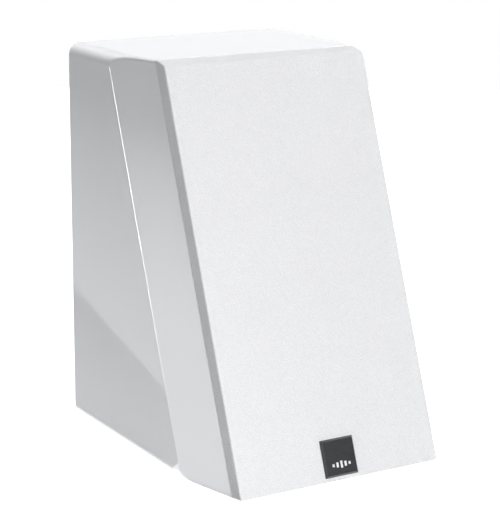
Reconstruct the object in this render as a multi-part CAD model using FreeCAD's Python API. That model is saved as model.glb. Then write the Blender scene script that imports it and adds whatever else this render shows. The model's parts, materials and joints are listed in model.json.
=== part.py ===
import FreeCAD, Part
import math
import os

V = FreeCAD.Vector

# Compact two-way bookshelf speaker with a leaning front. Millimetres, +Z up, front towards -Y.
# The origin is the middle of the base's outer box; the rear face is the plane Y = DEPTH / 2.

# ---------------------------------------------------------------- cabinet
WIDTH = 152.0             # across the two sides
HEIGHT = 233.0            # base to top
DEPTH = 192.0             # foot of the grille's front plane to the rear face
TILT = 20.6               # lean of the front, degrees from upright
WALL = 12.0               # sides, top, base and rear
BAFFLE_THICK = 18.0
FACE_WIDTH = 133.0        # front face between the two facets
CREASE_BACK = 51.5        # level distance from the grille's front plane to the side crease
TOP_EDGE_R = 8.0
BASE_EDGE_R = 5.0
CREASE_R = 2.5
FRONT_EDGE_R = 0.8
REAR_EDGE_R = 2.0
REAR_SEAM = 0.5           # chamfer round the inset rear panel
BRACE_Z = 113.0
BRACE_THICK = 8.0

# ---------------------------------------------------------------- grille
GRILLE_THICK = 9.9        # baffle plane to the cloth's front
GRILLE_GAP = 0.3          # between the baffle and the back of the frame
CLOTH = 0.5
GRILLE_FOOT_Z = 2.2       # lowest front edge
GRILLE_HEAD_Z = 230.8     # highest front edge
GRILLE_BACK_FOOT_Z = 1.2
GRILLE_BACK_HEAD_Z = 232.8
FRAME_EDGE_R = 1.2
WOOFER_WINDOW_R = 56.0
TWEETER_WINDOW_R = 40.0
WINDOW_CHAMFER = 2.5
PEG_R = 3.0
PEG_FIT = 0.05            # radial, peg in socket
PEG_DEPTH = 11.0
PEG_ROOT = 4.0            # length held in the frame
PEG_ACROSS = 56.5         # from the middle line
PEG_LOW = 14.0
PEG_HIGH = 233.0
SOCKET_R = 5.0
SOCKET_DEPTH = 13.0
SOCKET_FLOOR = 0.8
BADGE = 21.5
BADGE_RISE = 2.5          # above the cloth's lower front edge
BADGE_THICK = 2.0
BADGE_BEVEL = 1.0
MARK_BARS = (1.6, 2.8, 4.0, 2.8, 1.6)
MARK_BAR = 1.3
MARK_PITCH = 2.7
MARK_RISE = 6.5           # middle of the bars above the badge's lower edge
MARK_THICK = 0.25

# ---------------------------------------------------------------- woofer, radii and depths behind the baffle
WOOFER_V = 76.0           # centre, measured up the baffle
WOOFER_FLANGE_R = 59.0
WOOFER_RECESS = 5.0
WOOFER_HOLE_R = 50.0
FLANGE_SINK = 1.0         # flange front below the baffle plane
WOOFER_SCREW_RING = 55.0
WOOFER_SCREWS = 6
WOOFER_SCREW_R = 1.75
COIL_R = 12.6             # inside of the former
FORMER_WALL = 0.25
WINDING = 0.6
POLE_R = 12.0
GAP_R = 13.95
CONE_R = 39.8

# ---------------------------------------------------------------- tweeter
TWEETER_V = 186.0
TWEETER_FACE_R = 46.0
TWEETER_RECESS = 4.0
TWEETER_HOLE_R = 32.0
TWEETER_SCREW_RING = 41.0
TWEETER_SCREWS = 4
TWEETER_SCREW_R = 1.5
DOME_R = 13.1
RECESS_FIT = 0.3          # radial, driver in its recess

# ---------------------------------------------------------------- rear fittings
PORT_Z = 148.0
PORT_R = 16.5
PORT_WALL = 2.0
PORT_INNER_Y = 38.0
PORT_MOUTH_R = 28.0
PORT_FLANGE = 2.0
CUP_Z = 48.0
CUP_HALF_X = 31.0         # inside of the recess
CUP_HALF_Z = 18.5
CUP_WALL = 2.5
CUP_DEEP = 20.0
CUP_FLANGE_X = 42.0
CUP_FLANGE_Z = 29.0
CUP_FLANGE = 2.5
CUP_GASKET = 1.0
CUP_SCREW_X = 38.0
CUP_SCREW_Z = 25.0
POST_X = 9.525            # half of the 19.05 mm plug spacing
STUD_R = 3.0
PLUG_R = 2.0              # bore for a 4 mm banana plug
STUD_TIP = 5.5            # behind the rear face
POST_FIT = 0.05
COLLAR_R = 6.8
KNOB_R = 6.5
KNOB_RIBS = 18
INSERT_Z = 100.0
INSERT_R = 4.5
INSERT_BORE_R = 2.56
KEYHOLE_Z = 193.0         # entry hole
KEYHOLE_R = 5.0
KEYHOLE_SLOT_R = 2.6
KEYHOLE_RUN = 10.0
PLATE_X = 32.0
PLATE_LOW = 185.0
PLATE_HIGH = 210.0
PLATE_THICK = 1.5
PLATE_SCREW_X = 25.0
PLATE_SCREW_Z = 197.5
PLATE_SCREW_R = 1.4
PLATE_HEAD_R = 2.8
POCKET_X = 9.0            # pocket behind the keyhole plate, half sizes
POCKET_HALF_Z = 11.0
POCKET_DEEP = 9.0
PANEL_SCREW_R = 1.5
PANEL_SCREW_LONG = 9.0
CUP_HEAD_R = 2.9
HEAD_LIP = 0.4            # straight edge of a countersunk head

# ---------------------------------------------------------------- crossover and wires
BOARD_X = 38.0
BOARD_FRONT = 6.0
BOARD_BACK = 66.0
BOARD_Z = 17.0
BOARD_THICK = 1.6
WIRE_R = 0.9
WIRE_PITCH = 2.2

# ---------------------------------------------------------------- worked-out places
COS = math.cos(math.radians(TILT))
SIN = math.sin(math.radians(TILT))
REAR_Y = DEPTH / 2
BAFFLE_Y = -DEPTH / 2 + GRILLE_THICK / COS      # baffle plane where it meets the floor
INNER_X = WIDTH / 2 - WALL
INNER_REAR = REAR_Y - WALL
FACET_IN = (WIDTH - FACE_WIDTH) / 2
FACET_BACK = CREASE_BACK * COS - GRILLE_THICK   # square to the baffle
CUP_FLOOR = REAR_Y - CUP_DEEP
BAFFLE = FreeCAD.Placement(V(0, BAFFLE_Y, 0), FreeCAD.Rotation(V(1, 0, 0), 90 - TILT))
FAR = 400.0
TOUCH = 0.001
MID = "middle of an arc"


# ---------------------------------------------------------------- drawing helpers
def flat(a, b):
    return V(a, b, 0)


def upright(a, b):
    return V(a, 0, b)


def sideways(a, b):
    return V(0, a, b)


def outline(points, place):
    """Closed wire through the points; one marked MID is the middle of an arc."""
    edges = []
    start = points[0]
    middle = None
    for point in list(points[1:]) + [points[0]]:
        if point[-1] is MID:
            middle = point[:2]
            continue
        ends = place(*start), place(*point)
        if middle:
            edge = Part.Arc(ends[0], place(*middle), ends[1]).toShape()
        else:
            edge = Part.LineSegment(*ends).toShape()
        edges.append(edge)
        start = point
        middle = None
    return Part.Wire(edges)


def plate(points, low, high):
    """Outline in X and Y, from Z = low to Z = high."""
    face = Part.Face(outline(points, flat))
    return face.extrude(V(0, 0, high - low)).translated(V(0, 0, low))


def long_prism(points):
    """Outline in X and Z, running a long way both ways along Y."""
    face = Part.Face(outline(points, upright))
    return face.extrude(V(0, 2 * FAR, 0)).translated(V(0, -FAR, 0))


def turned(points):
    """Outline in radius and Z, turned about the Z axis."""
    return Part.Face(outline(points, upright)).revolve(V(0, 0, 0), V(0, 0, 1), 360)


def hexagon(radius, low, high):
    turns = [math.radians(60 * k) for k in range(6)]
    return plate([(radius * math.cos(turn), radius * math.sin(turn)) for turn in turns], low, high)


def disc(radius, low, high, x=0, y=0):
    return Part.makeCylinder(radius, high - low, V(x, y, low))


def ring(outer, inner, low, high, x=0, y=0):
    return disc(outer, low, high, x, y).cut(disc(inner, low, high, x, y))


def block(x, y, z):
    """Box from three (low, high) pairs."""
    return Part.makeBox(x[1] - x[0], y[1] - y[0], z[1] - z[0], V(x[0], y[0], z[0]))


def dome(rim, rise, wall, base):
    """Spherical shell with its open rim at Z = base, bulging up."""
    radius = (rim ** 2 + rise ** 2) / (2 * rise)
    centre = V(0, 0, base + rise - radius)
    shell = Part.makeSphere(radius, centre).cut(Part.makeSphere(radius - wall, centre))
    return shell.common(block((-radius, radius), (-radius, radius), (base, base + rise + 1)))


def rounded_plate(half_x, half_y, radius, low, high):
    box = block((-half_x, half_x), (-half_y, half_y), (low, high))
    return box.makeFillet(radius, [e for e in box.Edges if abs(e.tangentAt(e.FirstParameter).z) > 0.5])


def around(shape, count, first=0.0):
    """Copies of the shape, spaced evenly about the Z axis."""
    return [shape.rotated(V(0, 0, 0), V(0, 0, 1), first + 360.0 * k / count) for k in range(count)]


def on_baffle(shape, up=0.0):
    """From baffle axes (across, up, outward), centred a distance up the baffle, to the part's own."""
    return shape.translated(V(0, up, 0)).transformed(BAFFLE.toMatrix(), True)


def on_rear(shape, x=0.0, z=0.0):
    """From axes (across, up, outward) on the rear face, centred at (x, z), to the part's own."""
    turn = FreeCAD.Rotation(V(0, 1, 0), 180) * FreeCAD.Rotation(V(1, 0, 0), -90)
    return shape.transformed(FreeCAD.Placement(V(x, REAR_Y, z), turn).toMatrix(), True)


def ahead(point):
    """Distance of a point in front of the baffle plane."""
    return point.z * SIN - (point.y - BAFFLE_Y) * COS


def beyond_facet(point):
    """Distance of a point outside the facet on its own side."""
    across = (abs(point.x) - FACE_WIDTH / 2) * FACET_BACK
    return (across + ahead(point) * FACET_IN) / math.hypot(FACET_BACK, FACET_IN)


def edges_where(shape, test):
    """Edges of the shape whose ends and middle all pass the test."""
    chosen = []
    for edge in shape.Edges:
        first, last = edge.ParameterRange
        if all(test(edge.valueAt(t)) for t in (first, (first + last) / 2, last)):
            chosen.append(edge)
    return chosen


# ---------------------------------------------------------------- cabinet
def outer_body():
    """The cabinet's outer form, solid: rounded box, leaning front, two facets, soft edges."""
    body = block((-WIDTH / 2, WIDTH / 2), (REAR_Y - FAR, REAR_Y), (0, HEIGHT))
    long_edges = [e for e in body.Edges if abs(e.tangentAt(e.FirstParameter).y) > 0.5]
    body = body.makeFillet(TOP_EDGE_R, [e for e in long_edges if e.CenterOfMass.z > HEIGHT / 2])
    base_edges = edges_where(body, lambda p: p.z < TOUCH and abs(p.x) > WIDTH / 2 - TOUCH)
    body = body.makeFillet(BASE_EDGE_R, base_edges)
    body = body.cut(on_baffle(block((-FAR, FAR), (-FAR, FAR), (0, FAR))))
    spare = FACET_IN / FACET_BACK * FAR
    half = FACE_WIDTH / 2
    for side in (-1, 1):
        corners = [
            (side * (half - spare), FAR), (side * (half + spare), -FAR), (side * FAR, -FAR), (side * FAR, FAR),
        ]
        body = body.cut(on_baffle(long_prism(corners)))
    facet_edges = edges_where(body, lambda p: abs(beyond_facet(p)) < TOUCH)
    body = body.makeFillet(CREASE_R, [e for e in facet_edges if ahead(e.CenterOfMass) < -TOUCH])
    body = body.makeFillet(FRONT_EDGE_R, edges_where(body, lambda p: abs(ahead(p)) < TOUCH))
    return body.makeFillet(REAR_EDGE_R, edges_where(body, lambda p: p.y > REAR_Y - TOUCH))


def cabinet_panels(body):
    """Sides, top and base: a wrap with mitred corners behind the baffle."""
    behind = on_baffle(block((-FAR, FAR), (-FAR, FAR), (-FAR, -BAFFLE_THICK)))
    hollow = block((-INNER_X, INNER_X), (-FAR, FAR), (WALL, HEIGHT - WALL))
    wrap = body.common(behind).cut(hollow)
    out = WIDTH / 2 + WALL
    deep = INNER_X - WALL
    low = (-WALL, 2 * WALL)
    high = (HEIGHT + WALL, HEIGHT - 2 * WALL)
    sections = {
        "top_panel": [(-out, high[0]), (out, high[0]), (deep, high[1]), (-deep, high[1])],
        "bottom_panel": [(-out, low[0]), (out, low[0]), (deep, low[1]), (-deep, low[1])],
        "left_side_panel": [(-out, low[0]), (-deep, low[1]), (-deep, high[1]), (-out, high[0])],
        "right_side_panel": [(out, low[0]), (deep, low[1]), (deep, high[1]), (out, high[0])],
    }
    panels = {}
    for name, corners in sections.items():
        panels[name] = wrap.common(long_prism(corners))
    return panels


def peg_places():
    return [(side * PEG_ACROSS, up) for side in (-1, 1) for up in (PEG_LOW, PEG_HIGH)]


def front_baffle(body):
    slab = body.common(on_baffle(block((-FAR, FAR), (-FAR, FAR), (-BAFFLE_THICK, FAR))))
    woofer = [
        disc(WOOFER_FLANGE_R + RECESS_FIT, -WOOFER_RECESS, FAR),
        disc(WOOFER_HOLE_R, -FAR, FAR),
    ]
    woofer += around(disc(WOOFER_SCREW_R, -16, 0, x=WOOFER_SCREW_RING), WOOFER_SCREWS)
    tweeter = [
        disc(TWEETER_FACE_R + RECESS_FIT, -TWEETER_RECESS, FAR),
        disc(TWEETER_HOLE_R, -FAR, FAR),
    ]
    tweeter += around(disc(TWEETER_SCREW_R, -16, 0, x=TWEETER_SCREW_RING), TWEETER_SCREWS, 45)
    cuts = [on_baffle(c, WOOFER_V) for c in woofer]
    cuts += [on_baffle(c, TWEETER_V) for c in tweeter]
    cuts += [on_baffle(disc(SOCKET_R, -SOCKET_DEPTH, FAR, *place)) for place in peg_places()]
    for cut in cuts:
        slab = slab.cut(cut)
    return slab


def keyhole(low, high):
    """Keyhole cut on the rear face: round entry and a slot running up from it."""
    entry = disc(KEYHOLE_R, low, high)
    slot = block((-KEYHOLE_SLOT_R, KEYHOLE_SLOT_R), (0, KEYHOLE_RUN), (low, high))
    return entry.fuse([slot, disc(KEYHOLE_SLOT_R, low, high, y=KEYHOLE_RUN)])


def plate_middle():
    return (PLATE_LOW + PLATE_HIGH) / 2


def at_cup_screws(shape):
    """The shape at the terminal cup's four screw places."""
    return [shape.translated(V(sx * CUP_SCREW_X, sy * CUP_SCREW_Z, 0)) for sx in (-1, 1) for sy in (-1, 1)]


def rear_panel():
    panel = block((-INNER_X, INNER_X), (INNER_REAR, REAR_Y), (WALL, HEIGHT - WALL))
    panel = panel.makeChamfer(REAR_SEAM, edges_where(panel, lambda p: p.y > REAR_Y - TOUCH))
    cup_x = CUP_HALF_X + CUP_WALL + RECESS_FIT
    cup_z = CUP_HALF_Z + CUP_WALL + RECESS_FIT
    flange_x = CUP_FLANGE_X + RECESS_FIT
    flange_z = CUP_FLANGE_Z + RECESS_FIT
    plate_x = PLATE_X + RECESS_FIT
    plate_z = (PLATE_HIGH - PLATE_LOW) / 2 + RECESS_FIT
    cuts = [
        on_rear(rounded_plate(cup_x, cup_z, 4, -FAR, FAR), z=CUP_Z),
        on_rear(rounded_plate(flange_x, flange_z, 6, -CUP_FLANGE - CUP_GASKET, FAR), z=CUP_Z),
        on_rear(disc(PORT_MOUTH_R - 3.5, -FAR, FAR), z=PORT_Z),
        on_rear(disc(PORT_MOUTH_R + RECESS_FIT, -PORT_FLANGE, FAR), z=PORT_Z),
        on_rear(disc(INSERT_R, -FAR, FAR), z=INSERT_Z),
        on_rear(rounded_plate(plate_x, plate_z, 4, -PLATE_THICK, FAR), z=plate_middle()),
        on_rear(rounded_plate(POCKET_X, POCKET_HALF_Z, 3, -POCKET_DEEP, 0), z=plate_middle()),
    ]
    pilot = disc(PANEL_SCREW_R, -PANEL_SCREW_LONG, 0)
    cuts += [on_rear(hole, z=CUP_Z) for hole in at_cup_screws(pilot)]
    pilot = disc(PLATE_SCREW_R, -PANEL_SCREW_LONG, 0)
    cuts += [on_rear(pilot, side * PLATE_SCREW_X, PLATE_SCREW_Z) for side in (-1, 1)]
    for cut in cuts:
        panel = panel.cut(cut)
    return panel


def shelf_brace():
    """Shelf between the two drivers, glued to both sides, with two air windows."""
    shelf = block((-INNER_X, INNER_X), (-FAR, INNER_REAR), (BRACE_Z, BRACE_Z + BRACE_THICK))
    shelf = shelf.common(on_baffle(block((-FAR, FAR), (-FAR, FAR), (-FAR, -BAFFLE_THICK))))
    for side in (-1, 1):
        window = rounded_plate(21, 36, 8, BRACE_Z - 1, BRACE_Z + BRACE_THICK + 1)
        shelf = shelf.cut(window.translated(V(side * 30, 32, 0)))
    return shelf


def cabinet_wadding():
    """Two soft pads against the side walls, above the shelf."""
    pads = []
    for side in (-1, 1):
        edge = sorted((side * (INNER_X - 0.5), side * (INNER_X - 11.5)))
        pads.append(block(edge, (16, 80), (126, 214)))
    return Part.makeCompound(pads)


# ---------------------------------------------------------------- rear fittings
def countersunk(radius, head, length):
    """Wood screw pointing down -Z with its head's face at Z = 0."""
    sink = HEAD_LIP + head - radius
    screw = turned([(0, 0), (head, 0), (head, -HEAD_LIP), (radius, -sink), (radius, -length), (0, -length)])
    arm = (-head * 0.6, head * 0.6)
    slot = (-0.25, 0.25)
    for across, up in ((arm, slot), (slot, arm)):
        screw = screw.cut(block(across, up, (-0.8, 1)))
    return screw


def port_tube():
    """Flared rear port, one moulding: flange, trumpet mouth, tube and a small inner flare."""
    long = REAR_Y - PORT_INNER_Y
    mouth = PORT_MOUTH_R - PORT_R
    inside = PORT_R
    outside = PORT_R + PORT_WALL
    lip = 0.7071
    sweep = mouth - 1.5
    tip = 3.5
    points = [
        (PORT_MOUTH_R, 0), (inside + sweep, 0),
        (inside + sweep * (1 - lip), -sweep * (1 - lip), MID), (inside, -sweep),
        (inside, tip - long), (inside + tip * (1 - lip), tip * (1 - lip) - long, MID), (inside + tip, -long),
        (outside + tip, -long), (outside + tip * (1 - lip), tip * (1 - lip) + 1 - long, MID),
        (outside, tip + 1 - long), (outside, -sweep - PORT_WALL), (outside + 1.4, -sweep + 1.5),
        (PORT_MOUTH_R - 4, -PORT_FLANGE), (PORT_MOUTH_R, -PORT_FLANGE),
    ]
    return on_rear(turned(points), z=PORT_Z)


def terminal_cup():
    flange = rounded_plate(CUP_FLANGE_X, CUP_FLANGE_Z, 6, -CUP_FLANGE, 0)
    outer_x = CUP_HALF_X + CUP_WALL
    outer_z = CUP_HALF_Z + CUP_WALL
    shell = rounded_plate(outer_x, outer_z, 4, -CUP_DEEP - CUP_WALL, -CUP_FLANGE)
    cup = flange.fuse(shell).removeSplitter()
    cup = cup.cut(rounded_plate(CUP_HALF_X, CUP_HALF_Z, 3, -CUP_DEEP, FAR))
    cup = cup.makeFillet(1.0, edges_where(cup, lambda p: p.z > -TOUCH))
    for side in (-1, 1):
        cup = cup.cut(disc(STUD_R, -FAR, 0, x=side * POST_X))
    taper = CUP_HEAD_R - PANEL_SCREW_R
    sink = -HEAD_LIP - taper
    seat = disc(CUP_HEAD_R, -HEAD_LIP, 1)
    seat = seat.fuse(Part.makeCone(PANEL_SCREW_R, CUP_HEAD_R, taper, V(0, 0, sink)))
    seat = seat.fuse(disc(PANEL_SCREW_R, -FAR, sink))
    for hole in at_cup_screws(seat):
        cup = cup.cut(hole)
    return on_rear(cup, z=CUP_Z)


def terminal_gasket():
    low = -CUP_FLANGE - CUP_GASKET
    gasket = rounded_plate(CUP_FLANGE_X, CUP_FLANGE_Z, 6, low, -CUP_FLANGE)
    gasket = gasket.cut(rounded_plate(CUP_HALF_X + CUP_WALL, CUP_HALF_Z + CUP_WALL, 4, -FAR, FAR))
    for hole in at_cup_screws(disc(PANEL_SCREW_R, -FAR, 0)):
        gasket = gasket.cut(hole)
    return on_rear(gasket, z=CUP_Z)


def terminal_screws():
    screw = countersunk(PANEL_SCREW_R, CUP_HEAD_R, PANEL_SCREW_LONG)
    return on_rear(Part.makeCompound(at_cup_screws(screw)), z=CUP_Z)


def post_stud(side):
    stud = turned([
        (0, -34), (STUD_R, -34), (STUD_R, -STUD_TIP - 0.4), (STUD_R - 0.4, -STUD_TIP),
        (PLUG_R, -STUD_TIP), (PLUG_R, -CUP_DEEP - 0.5), (0, -CUP_DEEP - 0.5),
    ])
    return on_rear(stud, side * POST_X, CUP_Z)


def post_collar(side):
    low = -CUP_DEEP
    collar = turned([
        (STUD_R, low), (COLLAR_R, low), (COLLAR_R, low + 2.2), (COLLAR_R - 0.8, low + 3), (STUD_R, low + 3),
    ])
    return on_rear(collar, side * POST_X, CUP_Z)


def post_washer(side):
    bore = STUD_R + POST_FIT
    low = -CUP_DEEP + 3.3
    washer = turned([(bore, low), (5.8, low), (5.8, low + 1.2), (bore, low + 1.2)])
    return on_rear(washer, side * POST_X, CUP_Z)


def post_knob(side):
    """Knurled clamping nut with an open end that a plug goes in through."""
    bore = STUD_R + POST_FIT
    low = -CUP_DEEP + 4.8
    high = -STUD_TIP + 1.5
    knob = turned([
        (bore, low), (KNOB_R - 0.6, low), (KNOB_R, low + 0.6), (KNOB_R, high - 1.2), (KNOB_R - 1.2, high),
        (bore, high),
    ])
    for groove in around(disc(0.45, low - 1, high - 1.6, x=KNOB_R + 0.1), KNOB_RIBS):
        knob = knob.cut(groove)
    return on_rear(knob, side * POST_X, CUP_Z)


def post_hardware():
    """Behind the cup, on each stud: a solder tag and the hexagon nut that holds the post."""
    back = -CUP_DEEP - CUP_WALL
    pieces = []
    for side in (-1, 1):
        tag = ring(5, STUD_R, back - 0.8, back).fuse(block((-2, 2), (4, 12), (back - 0.8, back))).removeSplitter()
        tag = tag.cut(disc(0.8, -FAR, 0, y=10))
        nut = hexagon(5.2, back - 4.8, back - 0.8).cut(disc(STUD_R, -FAR, 0))
        pieces += [on_rear(tag, side * POST_X, CUP_Z), on_rear(nut, side * POST_X, CUP_Z)]
    return Part.makeCompound(pieces)


def threaded_insert():
    insert = ring(INSERT_R, INSERT_BORE_R, -WALL, 0)
    return on_rear(insert, z=INSERT_Z)


def keyhole_plate():
    half = (PLATE_HIGH - PLATE_LOW) / 2
    steel = rounded_plate(PLATE_X, half, 4, -PLATE_THICK, 0)
    steel = steel.cut(keyhole(-FAR, FAR).translated(V(0, KEYHOLE_Z - plate_middle(), 0)))
    for side in (-1, 1):
        place = V(side * PLATE_SCREW_X, PLATE_SCREW_Z - plate_middle(), -PLATE_THICK)
        steel = steel.cut(Part.makeCone(PLATE_SCREW_R, PLATE_HEAD_R + 0.1, PLATE_THICK, place))
    return on_rear(steel, z=plate_middle())


def keyhole_screws():
    screw = turned([
        (0, 0), (PLATE_HEAD_R, 0), (PLATE_SCREW_R, -PLATE_THICK), (PLATE_SCREW_R, -PANEL_SCREW_LONG),
        (0, -PANEL_SCREW_LONG),
    ])
    screw = screw.cut(block((-1.8, 1.8), (-0.25, 0.25), (-0.7, 1)))
    return Part.makeCompound([on_rear(screw, side * PLATE_SCREW_X, PLATE_SCREW_Z) for side in (-1, 1)])


# ---------------------------------------------------------------- woofer
def woofer_basket():
    basket = turned([
        (46.5, -FLANGE_SINK), (WOOFER_FLANGE_R, -FLANGE_SINK), (WOOFER_FLANGE_R, -WOOFER_RECESS), (49.5, -5),
        (40.5, -28), (40.5, -33), (32, -38), (16, -38), (16, -36), (31, -36), (33.5, -34),
        (33.5, -28), (38.6, -28), (46.5, -8),
    ])
    for window in around(block((30, 70), (-14, 14), (-26, -9)), 6, 30):
        basket = basket.cut(window)
    for hole in around(disc(3.1, -2.6, 1, x=WOOFER_SCREW_RING), WOOFER_SCREWS):
        basket = basket.cut(hole)
    for hole in around(disc(WOOFER_SCREW_R, -9, 1, x=WOOFER_SCREW_RING), WOOFER_SCREWS):
        basket = basket.cut(hole)
    return on_baffle(basket, WOOFER_V)


def woofer_gasket():
    return on_baffle(turned([(47.3, -0.5), (51, -0.5), (51, 0.2), (50.3, 0.9), (48, 0.9), (47.3, 0.2)]), WOOFER_V)


def woofer_surround():
    """Half-roll rubber surround between the cone's rim and the basket."""
    return on_baffle(turned([
        (38, -1.1), (40, -1.1), (43, 1.9, MID), (46, -1), (51, -1), (51, -0.5), (46.4, -0.5),
        (43, 2.45, MID), (39.6, -0.6), (38, -0.6),
    ]), WOOFER_V)


def woofer_spider():
    """Corrugated ring that centres the coil."""
    step = 3.0
    folds = [(COIL_R + FORMER_WALL + 0.1, -27.8)]
    folds += [(16 + step * k, -28.6 + 1.6 * (k % 2)) for k in range(6)]
    folds += [(34, -28), (38, -28)]
    top = [(r, w + 0.45) for r, w in reversed(folds)]
    return on_baffle(turned(folds + top), WOOFER_V)


def woofer_cone():
    neck = COIL_R + FORMER_WALL
    return on_baffle(turned([
        (neck, -19.5), (25.5, -8.6, MID), (CONE_R, -1.2), (CONE_R, -1.8), (25.9, -9.2, MID), (neck, -20.5),
    ]), WOOFER_V)


def woofer_dust_cap():
    return on_baffle(dome(14.8, 4.9, 0.5, -17.4), WOOFER_V)


def woofer_former():
    return on_baffle(ring(COIL_R + FORMER_WALL, COIL_R, -47, -18.6), WOOFER_V)


def woofer_coil():
    inner = COIL_R + FORMER_WALL
    return on_baffle(ring(inner + WINDING, inner, -47, -36), WOOFER_V)


def woofer_top_plate():
    return on_baffle(ring(30, GAP_R, -43, -38), WOOFER_V)


def woofer_magnet():
    magnet = ring(36, 19, -57, -43)
    rims = [e for e in magnet.Edges if abs(e.Length - 2 * math.pi * 36) < 1]
    return on_baffle(magnet.makeChamfer(0.8, rims), WOOFER_V)


def woofer_yoke():
    """Back plate and pole in one, with a vent through the pole."""
    vent = 4.0
    yoke = turned([
        (vent, -62), (31, -62), (32, -61), (32, -57), (POLE_R, -57), (POLE_R, -38.9), (POLE_R - 0.4, -38.5),
        (vent, -38.5),
    ])
    return on_baffle(yoke, WOOFER_V)


def woofer_terminals():
    """Insulating strip on the basket's ledge with two solder tags."""
    strip = block((40.5, 42), (-8, 8), (-40, -28.5))
    tags = [block((42, 42.8), (y - 1.6, y + 1.6), (-46, -33)) for y in (-4.5, 4.5)]
    return on_baffle(Part.makeCompound([strip] + tags), WOOFER_V)


def woofer_screws():
    head = disc(3.0, -2.6, -0.6)
    screw = head.makeFillet(0.5, edges_where(head, lambda p: p.z > -0.7)).cut(hexagon(1.4, -1.8, 0))
    screw = screw.fuse(disc(WOOFER_SCREW_R, -15, -2.6)).removeSplitter()
    screws = around(screw.translated(V(WOOFER_SCREW_RING, 0, 0)), WOOFER_SCREWS)
    return on_baffle(Part.makeCompound(screws), WOOFER_V)


# ---------------------------------------------------------------- tweeter
def tweeter_faceplate():
    """Round plate with a shallow dish that leads to the dome."""
    face = turned([
        (TWEETER_FACE_R, -TWEETER_RECESS), (TWEETER_FACE_R, -0.8), (45.8, -0.2, MID), (45.2, 0), (36, 0),
        (26, -2.2, MID), (16.6, -3.2), (16.6, -7.7), (19.2, -7.7), (19.2, -8), (30, -8), (30, -4),
    ])
    for hole in around(disc(2.9, -1.5, 1, x=TWEETER_SCREW_RING), TWEETER_SCREWS, 45):
        face = face.cut(hole)
    for hole in around(disc(TWEETER_SCREW_R, -9, 1, x=TWEETER_SCREW_RING), TWEETER_SCREWS, 45):
        face = face.cut(hole)
    return on_baffle(face, TWEETER_V)


def tweeter_guard():
    """Small disc held over the dome by three arms."""
    side_view = [(0, 1.4), (13, 1.4), (20.5, -2.2), (20.5, -2.8), (18, -2.8), (12, 0.2), (0, 0.2)]
    arm = Part.Face(outline(side_view, upright)).extrude(V(0, 2.2, 0)).translated(V(0, -1.1, 0))
    guard = disc(4.6, 0.2, 1.4).fuse(around(arm, 3, 90)).removeSplitter()
    return on_baffle(guard, TWEETER_V)


def tweeter_surround():
    return on_baffle(turned([
        (13.2, -7.7), (14.8, -6.4, MID), (16.3, -8), (19, -8), (19, -7.75), (16.45, -7.75), (14.8, -6.1, MID),
        (13.2, -7.4),
    ]), TWEETER_V)


def tweeter_dome():
    return on_baffle(dome(DOME_R, 6, 0.3, -7.6), TWEETER_V)


def tweeter_coil():
    return on_baffle(ring(13.0, 12.75, -12.5, -7.65), TWEETER_V)


def tweeter_top_plate():
    return on_baffle(ring(27, 13.4, -12, -8), TWEETER_V)


def tweeter_magnet():
    return on_baffle(ring(30, 17, -20, -12), TWEETER_V)


def tweeter_yoke():
    yoke = turned([(3, -24), (27, -24), (27, -20), (12.3, -20), (12.3, -8.2), (3, -8.2)])
    return on_baffle(yoke, TWEETER_V)


def tweeter_rear_cup():
    cup = turned([(0, -40), (18.5, -40), (20, -38.5), (20, -24), (18, -24), (18, -38), (0, -38)])
    return on_baffle(cup, TWEETER_V)


def tweeter_screws():
    head = disc(2.7, -1.5, 0)
    screw = head.makeFillet(0.4, edges_where(head, lambda p: p.z > -TOUCH)).cut(hexagon(1.25, -1, 1))
    screw = screw.fuse(disc(TWEETER_SCREW_R, -15, -1.5)).removeSplitter()
    screws = around(screw.translated(V(TWEETER_SCREW_RING, 0, 0)), TWEETER_SCREWS, 45)
    return on_baffle(Part.makeCompound(screws), TWEETER_V)


# ---------------------------------------------------------------- crossover
BOARD_HOLES = [(side * 33, y) for side in (-1, 1) for y in (BOARD_FRONT + 5, BOARD_BACK - 5)]
BOARD_TOP = BOARD_Z + BOARD_THICK


def crossover_board():
    board = block((-BOARD_X, BOARD_X), (BOARD_FRONT, BOARD_BACK), (BOARD_Z, BOARD_TOP))
    for x, y in BOARD_HOLES:
        board = board.cut(disc(1.5, 0, FAR, x, y))
    return board


def crossover_standoffs():
    """Spacers under the board, each with the screw that holds it down."""
    pieces = []
    for x, y in BOARD_HOLES:
        spacer = ring(3.2, 1.5, WALL, BOARD_Z, x, y)
        shank = disc(1.5, WALL, BOARD_TOP, x, y)
        screw = shank.fuse(disc(2.8, BOARD_TOP, BOARD_TOP + 1.8, x, y)).removeSplitter()
        pieces += [spacer, screw]
    return Part.makeCompound(pieces)


def crossover_inductors():
    """Two wound coils on bobbins: one lying flat, one on edge."""
    lying = turned([(4, 0), (14, 0), (14, 1), (12.5, 1), (12.5, 14), (14, 14), (14, 15), (4, 15)])
    standing = turned([(3.5, 0), (10, 0), (10, 1), (9, 1), (9, 12), (10, 12), (10, 13), (3.5, 13)])
    standing = standing.rotated(V(0, 0, 0), V(0, 1, 0), 90)
    lying = lying.translated(V(-19, 26, BOARD_TOP))
    standing = standing.translated(V(12, 19, BOARD_TOP + 10))
    return Part.makeCompound([lying, standing])


def crossover_capacitors():
    """Two film capacitors lying across the board."""
    pieces = []
    for x, y, radius, long in ((2, 38, 6.5, 30), (5, 53, 5, 24)):
        can = disc(radius, 0, long)
        can = can.makeFillet(1.2, [e for e in can.Edges if e.Length > radius * 6])
        pieces.append(can.rotated(V(0, 0, 0), V(0, 1, 0), 90).translated(V(x, y, BOARD_TOP + radius)))
    return Part.makeCompound(pieces)


def crossover_resistors():
    bodies = [block((-29, -7), (y, y + 6.5), (BOARD_TOP, BOARD_TOP + 6.5)) for y in (42, 51)]
    return Part.makeCompound(bodies)


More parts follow.
